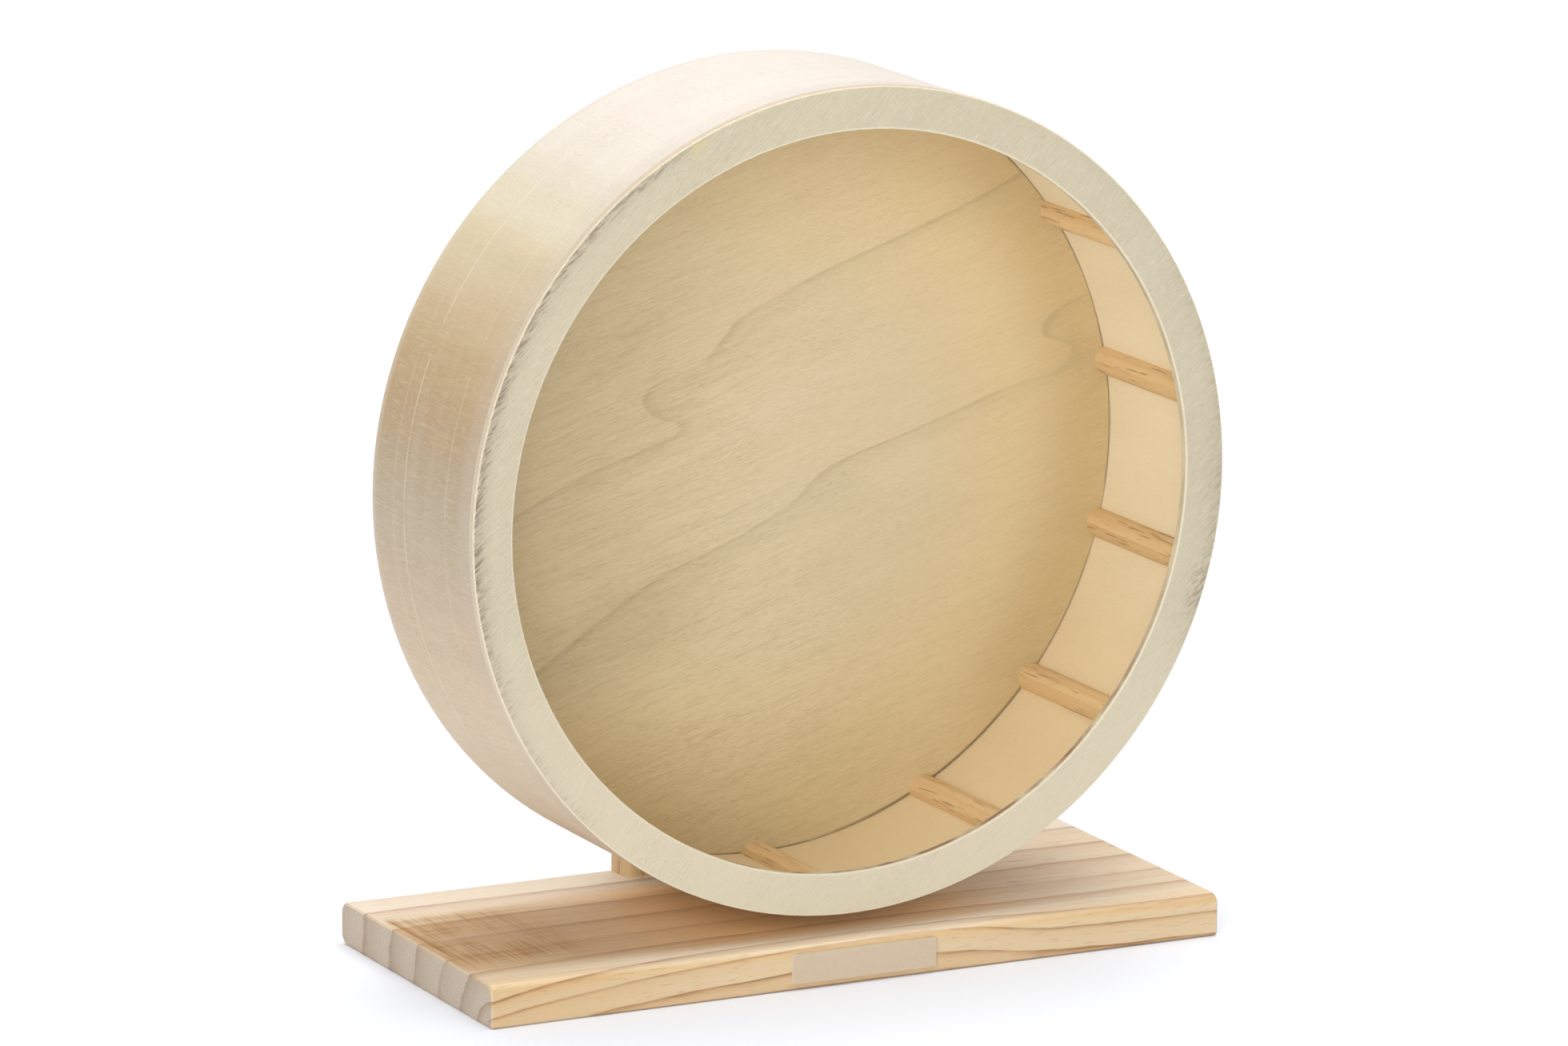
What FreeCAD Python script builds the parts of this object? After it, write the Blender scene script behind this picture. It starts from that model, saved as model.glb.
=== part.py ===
# Wooden rodent exercise wheel: a plywood drum on one bearing axle, carried by a pine stand.
# Millimetres. +Z is up, the open front of the drum faces -Y, and the drum turns about an axis along Y.
# The origin is the middle of the base board's underside.
import FreeCAD, Part
import math
import os

# Stand
BASE_LENGTH = 284.0
BASE_DEPTH = 123.0
BASE_THICKNESS = 15.0
BASE_EDGE_RADIUS = 4.0
BASE_TOE_RADIUS = 1.0
BASE_END_CHAMFER = 0.6
UPRIGHT_WIDTH = 76.0
UPRIGHT_EDGE_RADIUS = 4.0

# Label plate, left bare
LABEL_LENGTH = 56.0
LABEL_HEIGHT = 10.6
LABEL_THICKNESS = 1.0
LABEL_CORNER_RADIUS = 0.8
LABEL_OFFSET = 0.6

# Drum
WHEEL_DIAMETER = 290.0
WHEEL_CLEARANCE = 7.5
RUNNING_DEPTH = 70.0
BAND_THICKNESS = 4.0
BAND_LIP_WIDTH = 9.0
BAND_LIP_DROP = 0.4
BAND_REAR_CHAMFER = 0.5
BAND_SEAM_GAP = 0.4
RING_WIDTH = 15.0
RING_OVERHANG = 0.4
RING_THICKNESS = 3.0
RING_EDGE_RADIUS = 0.6
DISC_THICKNESS = 9.0
DISC_EDGE_GAP = 0.3

# Rungs: half-round sticks, glued in by hand, so those that show wander from an even spacing
RUNG_COUNT = 14
RUNG_WIDTH = 10.6
RUNG_HEIGHT = 4.6
RUNG_FIRST_DEG = 37.5
RUNG_WANDER_DEG = (-2.7, -1.6, -0.1, 0.9, 3.5, 0.9)
SEAM_RUNG = 5

# Hub and axle
HUB_DIAMETER = 64.0
HUB_THICKNESS = 12.0
HUB_EDGE_CHAMFER = 1.5
SPACER_LENGTH = 5.0
BOLT_DIAMETER = 8.0
BOLT_HEAD_ACROSS = 13.0
BOLT_HEAD_HEIGHT = 5.3
BOLT_TIP = 3.0
BOLT_TIP_CHAMFER = 0.8
WASHER_THICKNESS = 1.6
NUT_ACROSS = 13.0
NUT_HEX_HEIGHT = 6.0
NUT_COLLAR_HEIGHT = 2.2
NUT_COLLAR_WALL = 0.8
NUT_INSERT_WALL = 1.2
HEX_CHAMFER_DEG = 30.0

# Ball bearings
BEARING_OUTER_DIAMETER = 22.0
BEARING_WIDTH = 7.0
BEARING_SPACING = 1.0
BALL_DIAMETER = 3.969
BALL_COUNT = 7
SHOULDER_GAP = 2.9
SHIELD_THICKNESS = 0.35
SHIELD_INSET = 0.25
SHIELD_SEAT = 0.6
CAGE_WIDTH = 5.2
CAGE_WALL = 1.4

# Screws
SCREW_HEAD_LAND = 0.3
CROSS_SLOT_WIDTH = 0.9
CROSS_SLOT_DEPTH = 1.3
BASE_SCREW_DIAMETER = 4.0
BASE_SCREW_HEAD = 8.0
BASE_SCREW_BITE = 25.0
BASE_SCREW_SPACING = 48.0
BASE_SCREW_SUNK = 0.6
HUB_SCREW_DIAMETER = 3.5
HUB_SCREW_HEAD = 7.0
HUB_SCREW_BITE = 5.0
HUB_SCREW_CIRCLE = 46.0
HUB_SCREW_COUNT = 4
HUB_SCREW_SUNK = 0.3

# Fits: a seat holds, a pocket lets a piece in by hand, a running gap keeps moving pieces apart
SEAT_GAP = 0.01
POCKET_GAP = 0.1
BALL_GAP = 0.05
CAGE_POCKET_GAP = 0.1
SHIELD_RUNNING_GAP = 0.25
SPACER_RELIEF = 0.15

# Heights and radii that follow
UPRIGHT_THICKNESS = 2 * BEARING_WIDTH + BEARING_SPACING
BAND_OUTER_RADIUS = WHEEL_DIAMETER / 2
BAND_INNER_RADIUS = BAND_OUTER_RADIUS - BAND_THICKNESS
RING_OUTER_RADIUS = BAND_OUTER_RADIUS + RING_OVERHANG
RING_INNER_RADIUS = RING_OUTER_RADIUS - RING_WIDTH
AXLE_HEIGHT = BASE_THICKNESS + WHEEL_CLEARANCE + BAND_OUTER_RADIUS
BORE_RADIUS = BOLT_DIAMETER / 2 + SEAT_GAP
PITCH_RADIUS = (BOLT_DIAMETER + BEARING_OUTER_DIAMETER) / 4
INNER_SHOULDER_RADIUS = PITCH_RADIUS - SHOULDER_GAP / 2
OUTER_SHOULDER_RADIUS = PITCH_RADIUS + SHOULDER_GAP / 2
SLEEVE_RADIUS = INNER_SHOULDER_RADIUS - SPACER_RELIEF

# Places along Y, from the rear of the stand to the front of the drum
UPRIGHT_REAR = BASE_DEPTH / 2
UPRIGHT_FRONT = UPRIGHT_REAR - UPRIGHT_THICKNESS
HUB_REAR = UPRIGHT_FRONT - SPACER_LENGTH
DISC_REAR = HUB_REAR - HUB_THICKNESS
DISC_FRONT = DISC_REAR - DISC_THICKNESS
RING_REAR = DISC_FRONT - RUNNING_DEPTH
RING_FRONT = RING_REAR - RING_THICKNESS
NUT_FRONT = UPRIGHT_REAR + WASHER_THICKNESS
COLLAR_FRONT = NUT_FRONT + NUT_HEX_HEIGHT
NUT_REAR = COLLAR_FRONT + NUT_COLLAR_HEIGHT
BOLT_REAR = NUT_REAR + BOLT_TIP

UP = FreeCAD.Vector(0, 0, 1)
BACKWARD = FreeCAD.Vector(0, 1, 0)
AXLE_POINT = FreeCAD.Vector(0, 0, AXLE_HEIGHT)


def rod(radius, front, rear):
    """Solid cylinder on the wheel's axis, from one place along Y to another."""
    start = FreeCAD.Vector(0, front, AXLE_HEIGHT)
    return Part.makeCylinder(radius, rear - front, start, BACKWARD)


def tube(inner_radius, outer_radius, front, rear):
    """Hollow cylinder on the wheel's axis."""
    return rod(outer_radius, front, rear).cut(rod(inner_radius, front, rear))


def turned(profile):
    """Solid turned about the wheel's axis from an outline of (radius, place along Y) corners."""
    corners = [FreeCAD.Vector(radius, y, AXLE_HEIGHT) for radius, y in profile]
    outline = Part.makePolygon(corners + corners[:1])
    return Part.Face(outline).revolve(AXLE_POINT, BACKWARD, 360)


def on_wheel(radius, degrees, y):
    """Point at an angle round the wheel's axis: 0 is +X and 90 is up."""
    angle = math.radians(degrees)
    return FreeCAD.Vector(radius * math.cos(angle), y, AXLE_HEIGHT + radius * math.sin(angle))


def hexagon(across, front, rear):
    """Hexagonal prism on the wheel's axis, with two corners level with the axis."""
    corner_radius = across / math.sqrt(3)
    corners = [on_wheel(corner_radius, 60 * side, front) for side in range(6)]
    outline = Part.makePolygon(corners + corners[:1])
    return Part.Face(outline).extrude(BACKWARD * (rear - front))


def chamfered_hexagon(across, front, rear, chamfer_front, chamfer_rear):
    """Hexagonal prism with its corners turned off at one end or both."""
    corner_radius = across / math.sqrt(3)
    drop = (corner_radius - across / 2) * math.tan(math.radians(HEX_CHAMFER_DEG))
    front_radius = across / 2 if chamfer_front else corner_radius
    rear_radius = across / 2 if chamfer_rear else corner_radius
    limit = turned([
        (0, front),
        (front_radius, front),
        (corner_radius, front + drop),
        (corner_radius, rear - drop),
        (rear_radius, rear),
        (0, rear),
    ])
    return hexagon(across, front, rear).common(limit)


def screw_body(diameter, head_diameter, length, grow, mouth):
    """Countersunk screw or its hole, head face at the origin and point towards +Z.

    grow widens it all round, and mouth opens the hole that far above the head.
    """
    radius = diameter / 2 + grow
    head_radius = head_diameter / 2 + grow
    cone = (head_diameter - diameter) / 2
    outline = [
        (0, -mouth),
        (head_radius, -mouth),
        (head_radius, SCREW_HEAD_LAND),
        (radius, SCREW_HEAD_LAND + cone),
        (radius, length - diameter),
        (0, length + grow),
    ]
    corners = [FreeCAD.Vector(x, 0, z) for x, z in outline]
    face = Part.Face(Part.makePolygon(corners + corners[:1]))
    return face.revolve(FreeCAD.Vector(0, 0, 0), UP, 360)


def screw(diameter, head_diameter, length):
    """Countersunk screw with a cross slot in its head."""
    body = screw_body(diameter, head_diameter, length, 0, 0)
    for long_side, short_side in ((diameter, CROSS_SLOT_WIDTH), (CROSS_SLOT_WIDTH, diameter)):
        corner = FreeCAD.Vector(-long_side / 2, -short_side / 2, 0)
        body = body.cut(Part.makeBox(long_side, short_side, CROSS_SLOT_DEPTH, corner))
    return body


def placed(shape, position, turn_about_x):
    """Copy of a shape, turned about X and then moved."""
    turn = FreeCAD.Rotation(FreeCAD.Vector(1, 0, 0), turn_about_x)
    moved = shape.copy()
    moved.Placement = FreeCAD.Placement(position, turn)
    return moved


def base_screw_places():
    """Head of each screw under the base, pointing up into the middle of the upright."""
    y = (UPRIGHT_FRONT + UPRIGHT_REAR) / 2
    return [FreeCAD.Vector(side * BASE_SCREW_SPACING / 2, y, BASE_SCREW_SUNK) for side in (-1, 1)]


def base_screw_length():
    return BASE_THICKNESS - BASE_SCREW_SUNK + BASE_SCREW_BITE


def hub_screw_places():
    """Head of each screw in the rear of the hub block, pointing forward into the disc."""
    step = 360 / HUB_SCREW_COUNT
    y = HUB_REAR - HUB_SCREW_SUNK
    return [on_wheel(HUB_SCREW_CIRCLE / 2, step * (number + 0.5), y) for number in range(HUB_SCREW_COUNT)]


def hub_screw_length():
    return HUB_THICKNESS - HUB_SCREW_SUNK + HUB_SCREW_BITE


def base_screw_holes():
    hole = screw_body(BASE_SCREW_DIAMETER, BASE_SCREW_HEAD, base_screw_length(), SEAT_GAP, BASE_SCREW_SUNK)
    return Part.makeCompound([placed(hole, place, 0) for place in base_screw_places()])


def hub_screw_holes():
    hole = screw_body(HUB_SCREW_DIAMETER, HUB_SCREW_HEAD, hub_screw_length(), SEAT_GAP, HUB_SCREW_SUNK)
    return Part.makeCompound([placed(hole, place, 90) for place in hub_screw_places()])


def base_board():
    """Board with its long edges rounded, least at the front of the underside, and its ends lightly chamfered."""
    corner = FreeCAD.Vector(-BASE_LENGTH / 2, -BASE_DEPTH / 2, 0)
    board = Part.makeBox(BASE_LENGTH, BASE_DEPTH, BASE_THICKNESS, corner)
    long_edges = [edge for edge in board.Edges if abs(edge.Length - BASE_LENGTH) < 1e-6]
    toe_edges = [edge for edge in long_edges if edge.CenterOfMass.y < 0 and edge.CenterOfMass.z < 1e-6]
    toe_middle = toe_edges[0].CenterOfMass
    round_edges = [edge for edge in long_edges if edge.CenterOfMass.distanceToPoint(toe_middle) > 1]
    board = board.makeFillet(BASE_EDGE_RADIUS, round_edges)
    toe_edges = [edge for edge in board.Edges if edge.CenterOfMass.distanceToPoint(toe_middle) < 1e-6]
    board = board.makeFillet(BASE_TOE_RADIUS, toe_edges)
    end_edges = [edge for edge in board.Edges if edge.BoundBox.XLength < 1e-6]
    board = board.makeChamfer(BASE_END_CHAMFER, end_edges)
    return board.cut(base_screw_holes())


def label_plate():
    corner = FreeCAD.Vector(
        LABEL_OFFSET - LABEL_LENGTH / 2,
        -BASE_DEPTH / 2 - LABEL_THICKNESS,
        BASE_THICKNESS / 2 - LABEL_HEIGHT / 2,
    )
    plate = Part.makeBox(LABEL_LENGTH, LABEL_THICKNESS, LABEL_HEIGHT, corner)
    corner_edges = [edge for edge in plate.Edges if edge.BoundBox.YLength > LABEL_THICKNESS / 2]
    return plate.makeFillet(LABEL_CORNER_RADIUS, corner_edges)


def upright_board():
    """Board with a round top about the axle, rounded edges and one bore for both bearings."""
    half = UPRIGHT_WIDTH / 2
    foot_left = FreeCAD.Vector(-half, UPRIGHT_FRONT, BASE_THICKNESS)
    foot_right = FreeCAD.Vector(half, UPRIGHT_FRONT, BASE_THICKNESS)
    side_left = on_wheel(half, 180, UPRIGHT_FRONT)
    side_right = on_wheel(half, 0, UPRIGHT_FRONT)
    outline = Part.Wire([
        Part.makeLine(foot_left, foot_right),
        Part.makeLine(foot_right, side_right),
        Part.Arc(side_right, on_wheel(half, 90, UPRIGHT_FRONT), side_left).toShape(),
        Part.makeLine(side_left, foot_left),
    ])
    board = Part.Face(outline).extrude(BACKWARD * UPRIGHT_THICKNESS)
    round_edges = [
        edge for edge in board.Edges
        if edge.BoundBox.YLength < 1e-6 and edge.BoundBox.ZMax > BASE_THICKNESS + 1
    ]
    board = board.makeFillet(UPRIGHT_EDGE_RADIUS, round_edges)
    bearing_bore = rod(BEARING_OUTER_DIAMETER / 2 + SEAT_GAP, UPRIGHT_FRONT, UPRIGHT_REAR)
    return board.cut(bearing_bore).cut(base_screw_holes())


def base_screws():
    one = screw(BASE_SCREW_DIAMETER, BASE_SCREW_HEAD, base_screw_length())
    return Part.makeCompound([placed(one, place, 0) for place in base_screw_places()])


def rung_angles():
    """Angle of each rung, clockwise from the first as seen from the front."""
    angles = []
    for number in range(RUNG_COUNT):
        wander = RUNG_WANDER_DEG[number] if number < len(RUNG_WANDER_DEG) else 0
        angles.append(RUNG_FIRST_DEG - 360 / RUNG_COUNT * number + wander)
    return angles


def outer_band():
    """Strip bent into a hoop, drawn in slightly at the front and butted under one rung."""
    hoop = turned([
        (BAND_INNER_RADIUS, RING_REAR),
        (BAND_OUTER_RADIUS - BAND_LIP_DROP, RING_REAR),
        (BAND_OUTER_RADIUS, RING_REAR + BAND_LIP_WIDTH),
        (BAND_OUTER_RADIUS, DISC_REAR - BAND_REAR_CHAMFER),
        (BAND_OUTER_RADIUS - BAND_REAR_CHAMFER, DISC_REAR),
        (BAND_INNER_RADIUS, DISC_REAR),
    ])
    corner = FreeCAD.Vector(0, RING_REAR, -BAND_SEAM_GAP / 2)
    seam = Part.makeBox(BAND_OUTER_RADIUS + BAND_THICKNESS, DISC_REAR - RING_REAR, BAND_SEAM_GAP, corner)
    seam.Placement = FreeCAD.Placement(AXLE_POINT, FreeCAD.Rotation(BACKWARD, -rung_angles()[SEAM_RUNG]))
    return hoop.cut(seam)


def front_ring():
    """Ring glued over the front of the band, its front edges softened by sanding."""
    ring = tube(RING_INNER_RADIUS, RING_OUTER_RADIUS, RING_FRONT, RING_REAR)
    front_edges = [edge for edge in ring.Edges if edge.BoundBox.YMax < RING_FRONT + RING_THICKNESS / 2]
    return ring.makeFillet(RING_EDGE_RADIUS, front_edges)


def back_disc():
    disc = rod(BAND_INNER_RADIUS - DISC_EDGE_GAP, DISC_FRONT, DISC_REAR)
    return disc.cut(hub_screw_holes())


def rung(degrees):
    """Half-round stick whose flat side is shaped to the inside of the band."""
    radius = (RUNG_HEIGHT ** 2 + (RUNG_WIDTH / 2) ** 2) / (2 * RUNG_HEIGHT)
    centre = on_wheel(BAND_INNER_RADIUS - RUNG_HEIGHT + radius, degrees, RING_REAR)
    stick = Part.makeCylinder(radius, RUNNING_DEPTH, centre, BACKWARD)
    return stick.common(rod(BAND_INNER_RADIUS, RING_REAR, DISC_FRONT))


def hub_block():
    """Turned block with a hexagonal pocket for the bolt's head on the side of the disc."""
    block = turned([
        (BORE_RADIUS, DISC_REAR),
        (HUB_DIAMETER / 2, DISC_REAR),
        (HUB_DIAMETER / 2, HUB_REAR - HUB_EDGE_CHAMFER),
        (HUB_DIAMETER / 2 - HUB_EDGE_CHAMFER, HUB_REAR),
        (BORE_RADIUS, HUB_REAR),
    ])
    pocket = hexagon(BOLT_HEAD_ACROSS + 2 * POCKET_GAP, DISC_REAR, DISC_REAR + BOLT_HEAD_HEIGHT)
    return block.cut(pocket).cut(hub_screw_holes())


def hub_screws():
    one = screw(HUB_SCREW_DIAMETER, HUB_SCREW_HEAD, hub_screw_length())
    return Part.makeCompound([placed(one, place, 90) for place in hub_screw_places()])


def axle_bolt():
    head = chamfered_hexagon(BOLT_HEAD_ACROSS, DISC_REAR, DISC_REAR + BOLT_HEAD_HEIGHT, True, False)
    shank = turned([
        (0, DISC_REAR + BOLT_HEAD_HEIGHT / 2),
        (BOLT_DIAMETER / 2, DISC_REAR + BOLT_HEAD_HEIGHT / 2),
        (BOLT_DIAMETER / 2, BOLT_REAR - BOLT_TIP_CHAMFER),
        (BOLT_DIAMETER / 2 - BOLT_TIP_CHAMFER, BOLT_REAR),
        (0, BOLT_REAR),
    ])
    return head.fuse(shank).removeSplitter()


def lock_nut():
    """Hexagon nut with a collar that holds the nylon ring."""
    hexagon_part = chamfered_hexagon(NUT_ACROSS, NUT_FRONT, COLLAR_FRONT, True, True)
    collar_radius = BORE_RADIUS + NUT_INSERT_WALL + SEAT_GAP + NUT_COLLAR_WALL
    nut = hexagon_part.fuse(rod(collar_radius, COLLAR_FRONT, NUT_REAR))
    insert_seat = rod(BORE_RADIUS + NUT_INSERT_WALL + SEAT_GAP, COLLAR_FRONT, NUT_REAR)
    return nut.cut(rod(BORE_RADIUS, NUT_FRONT, NUT_REAR)).cut(insert_seat)


def outer_race(front):
    """Race with a ball groove and a step at each side for its shields."""
    rear = front + BEARING_WIDTH
    seat_radius = OUTER_SHOULDER_RADIUS + SHIELD_SEAT
    seat_depth = SHIELD_INSET + SHIELD_THICKNESS
    race = tube(OUTER_SHOULDER_RADIUS, BEARING_OUTER_DIAMETER / 2, front, rear)
    race = race.cut(rod(seat_radius, front, front + seat_depth))
    race = race.cut(rod(seat_radius, rear - seat_depth, rear))
    return race.cut(ball_groove(front))


def inner_race(front):
    race = tube(BORE_RADIUS, INNER_SHOULDER_RADIUS, front, front + BEARING_WIDTH)
    return race.cut(ball_groove(front))


def ball_groove(front):
    middle = FreeCAD.Vector(0, front + BEARING_WIDTH / 2, AXLE_HEIGHT)
    return Part.makeTorus(PITCH_RADIUS, BALL_DIAMETER / 2 + BALL_GAP, middle, BACKWARD)


def ball_places(front):
    step = 360 / BALL_COUNT
    return [on_wheel(PITCH_RADIUS, step * number, front + BEARING_WIDTH / 2) for number in range(BALL_COUNT)]


def balls(front):
    return Part.makeCompound([Part.makeSphere(BALL_DIAMETER / 2, place) for place in ball_places(front)])


def cage(front):
    """Ring with a pocket drilled outwards for each ball."""
    middle = front + BEARING_WIDTH / 2
    ring = tube(
        PITCH_RADIUS - CAGE_WALL / 2,
        PITCH_RADIUS + CAGE_WALL / 2,
        middle - CAGE_WIDTH / 2,
        middle + CAGE_WIDTH / 2,
    )
    axis_point = FreeCAD.Vector(0, middle, AXLE_HEIGHT)
    for place in ball_places(front):
        outward = place - axis_point
        ring = ring.cut(Part.makeCylinder(BALL_DIAMETER / 2 + CAGE_POCKET_GAP, 2 * PITCH_RADIUS, axis_point, outward))
    return ring


def shields(front):
    """Thin steel discs at both sides of a bearing, held by the outer race."""
    inner_radius = INNER_SHOULDER_RADIUS + SHIELD_RUNNING_GAP
    outer_radius = OUTER_SHOULDER_RADIUS + SHIELD_SEAT - SEAT_GAP
    first = front + SHIELD_INSET
    second = front + BEARING_WIDTH - SHIELD_INSET - SHIELD_THICKNESS
    return Part.makeCompound([
        tube(inner_radius, outer_radius, start, start + SHIELD_THICKNESS) for start in (first, second)
    ])


def save(node, shape):
    shape.exportStep(f"parts/{node}.step")


os.makedirs("parts", exist_ok=True)

# Stand
save("base_board", base_board())
save("label_plate", label_plate())
save("upright_board", upright_board())
save("base_screws", base_screws())

# Drum
save("outer_band", outer_band())
save("front_ring", front_ring())
save("back_disc", back_disc())
for number, degrees in enumerate(rung_angles(), start=1):
    save(f"rung_{number:02d}", rung(degrees))

# Hub and axle
save("hub_block", hub_block())
save("hub_screws", hub_screws())
save("axle_bolt", axle_bolt())
save("hub_spacer", tube(BORE_RADIUS, SLEEVE_RADIUS, HUB_REAR, UPRIGHT_FRONT))
save("race_spacer", tube(BORE_RADIUS, SLEEVE_RADIUS, UPRIGHT_FRONT + BEARING_WIDTH, UPRIGHT_REAR - BEARING_WIDTH))
save("end_washer", tube(BORE_RADIUS, SLEEVE_RADIUS, UPRIGHT_REAR, NUT_FRONT))
save("lock_nut", lock_nut())
save("nut_insert", tube(BORE_RADIUS, BORE_RADIUS + NUT_INSERT_WALL, COLLAR_FRONT, NUT_REAR))

# Bearings
for side, front in (("front", UPRIGHT_FRONT), ("rear", UPRIGHT_REAR - BEARING_WIDTH)):
    save(f"{side}_outer_race", outer_race(front))
    save(f"{side}_inner_race", inner_race(front))
    save(f"{side}_balls", balls(front))
    save(f"{side}_cage", cage(front))
    save(f"{side}_shields", shields(front))
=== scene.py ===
import math

import bpy
from mathutils import Matrix, Vector


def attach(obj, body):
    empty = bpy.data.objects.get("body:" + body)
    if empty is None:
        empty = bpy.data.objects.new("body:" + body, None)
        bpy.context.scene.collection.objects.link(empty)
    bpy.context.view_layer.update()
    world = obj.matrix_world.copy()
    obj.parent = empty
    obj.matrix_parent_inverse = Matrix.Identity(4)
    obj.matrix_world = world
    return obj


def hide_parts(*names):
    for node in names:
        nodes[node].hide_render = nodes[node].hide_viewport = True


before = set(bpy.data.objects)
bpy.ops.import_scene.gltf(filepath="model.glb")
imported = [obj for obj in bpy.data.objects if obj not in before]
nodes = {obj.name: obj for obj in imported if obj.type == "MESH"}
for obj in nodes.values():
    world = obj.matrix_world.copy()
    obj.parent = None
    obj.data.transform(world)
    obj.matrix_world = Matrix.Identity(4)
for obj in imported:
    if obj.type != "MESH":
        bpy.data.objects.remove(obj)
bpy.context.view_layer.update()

# Base board: one planed pine plank that the whole wheel stands on, its long edges rounded and its ends sawn
# square. It was cut beside the heart of a fast-grown log, so each growth ring shows as an arc on the ends and
# as a long wandering line on the faces.
MM = 0.001
BASE_HALF_LENGTH = 142 * MM
HEART_DEPTH = -66 * MM
HEART_LOWEST = -10 * MM
HEART_RISE = 15 * MM
HEART_HEIGHTS = ((0, 0.11), (0.12, 0.44), (0.28, 0.72), (0.42, 0.84), (0.61, 0.88), (0.78, 0.57), (1, 0.5))
RING_REACH = 136 * MM
RING_RADII = (0, 6, 13, 19, 32, 49, 69, 89, 111, 136)
LAST_RING = len(RING_RADII) - 1
PLANED_RELIEF = 0.12 * MM


def seen(red, green, blue):
    """Turns a colour as it is seen on screen, 0 to 255, into the linear colour that shaders use."""
    parts = []
    for value in (red, green, blue):
        share = value / 255
        parts.append(share / 12.92 if share <= 0.04045 else ((share + 0.055) / 1.055) ** 2.4)
    return (*parts, 1)


def feed(tree, socket, value):
    """Links an output to a socket, or sets the socket to a plain value."""
    if isinstance(value, bpy.types.NodeSocket):
        tree.links.new(value, socket)
    else:
        socket.default_value = value


def reckon(tree, operation, *values):
    """One step of arithmetic."""
    node = tree.nodes.new("ShaderNodeMath")
    node.operation = operation
    for socket, value in zip(node.inputs, values):
        feed(tree, socket, value)
    return node.outputs[0]


def product(tree, first, *others):
    """Several masks multiplied together."""
    for other in others:
        first = reckon(tree, "MULTIPLY", first, other)
    return first


def distance(tree, first, second):
    """How far a point lies from a line, from its two coordinates across the line."""
    squares = reckon(tree, "ADD", reckon(tree, "POWER", first, 2), reckon(tree, "POWER", second, 2))
    return reckon(tree, "SQRT", squares)


def swayed(tree, value, noise, swing):
    """A value that a noise moves up and down by half of the swing."""
    return reckon(tree, "ADD", value, reckon(tree, "MULTIPLY_ADD", noise, swing, -swing / 2))


def ramp(tree, value, start, end, low=0.0, high=1.0):
    """A soft step from low to high while the value goes from start to end."""
    node = tree.nodes.new("ShaderNodeMapRange")
    node.interpolation_type = "SMOOTHSTEP"
    for socket, setting in zip(node.inputs, (value, start, end, low, high)):
        feed(tree, socket, setting)
    return node.outputs[0]


def between(tree, value, low, high, soft):
    """1 where the value lies between low and high, with soft ends."""
    rise = ramp(tree, value, low - soft, low + soft)
    fall = ramp(tree, value, high - soft, high + soft, 1.0, 0.0)
    return reckon(tree, "MULTIPLY", rise, fall)


def tint(tree, under, over, mask, share=1.0):
    """Lays a colour over another where the mask says, and no more than the share."""
    node = tree.nodes.new("ShaderNodeMix")
    node.data_type = "RGBA"
    amount = mask if share == 1.0 else reckon(tree, "MULTIPLY", mask, share)
    for index, value in ((0, amount), (6, under), (7, over)):
        feed(tree, node.inputs[index], value)
    return node.outputs[2]


def layers(tree, colour, *rows):
    """Lays tones over a colour in turn. Each row has a tone, its share and the masks that it needs."""
    for tone, share, *masks in rows:
        colour = tint(tree, colour, seen(*tone), product(tree, *masks), share)
    return colour


def mapped(tree, vector, scale=(1, 1, 1), turn=(0, 0, 0), shift=(0, 0, 0)):
    """Moves, turns and stretches the coordinates of a pattern."""
    node = tree.nodes.new("ShaderNodeMapping")
    for name, value in (("Vector", vector), ("Location", shift), ("Rotation", turn), ("Scale", scale)):
        feed(tree, node.inputs[name], value)
    return node.outputs[0]


def split(tree, vector):
    """The three parts of a vector."""
    node = tree.nodes.new("ShaderNodeSeparateXYZ")
    tree.links.new(vector, node.inputs[0])
    return node.outputs


def grain_noise(tree, vector, scale, detail=2.0, roughness=0.5):
    """Noise whose size is given by a stretch along each axis, in waves per metre."""
    node = tree.nodes.new("ShaderNodeTexNoise")
    feed(tree, node.inputs["Vector"], mapped(tree, vector, scale))
    feed(tree, node.inputs["Scale"], 1.0)
    feed(tree, node.inputs["Detail"], detail)
    feed(tree, node.inputs["Roughness"], roughness)
    return node.outputs[0]


def flecks(tree, vector, scale, detail, start, end, low=0.0, high=1.0, roughness=0.5):
    """A mask made of noise: a soft step from low to high while the noise goes from start to end."""
    return ramp(tree, grain_noise(tree, vector, scale, detail, roughness), start, end, low, high)


def drawn_curve(tree, value, points):
    """A value that follows a curve drawn through a few points, both axes 0 to 1."""
    node = tree.nodes.new("ShaderNodeFloatCurve")
    curve = node.mapping.curves[0]
    curve.points[0].location = points[0]
    curve.points[1].location = points[-1]
    for point in points[1:-1]:
        curve.points.new(*point)
    node.mapping.update()
    feed(tree, node.inputs["Value"], value)
    return node.outputs[0]


def new_finish(name):
    """A material, its nodes, its shader, and the place of each point in the object's frame."""
    finish = bpy.data.materials.new(name)
    finish.use_nodes = True
    tree = finish.node_tree
    place = tree.nodes.new("ShaderNodeTexCoord")
    return finish, tree, tree.nodes["Principled BSDF"], place.outputs["Object"]


def facing(tree, here):
    """The three parts of the direction in which each point of a surface faces."""
    return split(tree, here.node.outputs["Normal"])


def surface(tree, shader, colour, pattern, spread, least, height=None, depth=0.0):
    """Sets a colour, a roughness that grows with a pattern from its least value, and a relief of a depth."""
    tree.links.new(colour, shader.inputs["Base Color"])
    tree.links.new(reckon(tree, "MULTIPLY_ADD", pattern, spread, least), shader.inputs["Roughness"])
    if height is not None:
        bump = tree.nodes.new("ShaderNodeBump")
        bump.inputs["Strength"].default_value = 1.0
        bump.inputs["Distance"].default_value = depth
        tree.links.new(height, bump.inputs["Height"])
        tree.links.new(bump.outputs[0], shader.inputs["Normal"])


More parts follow.
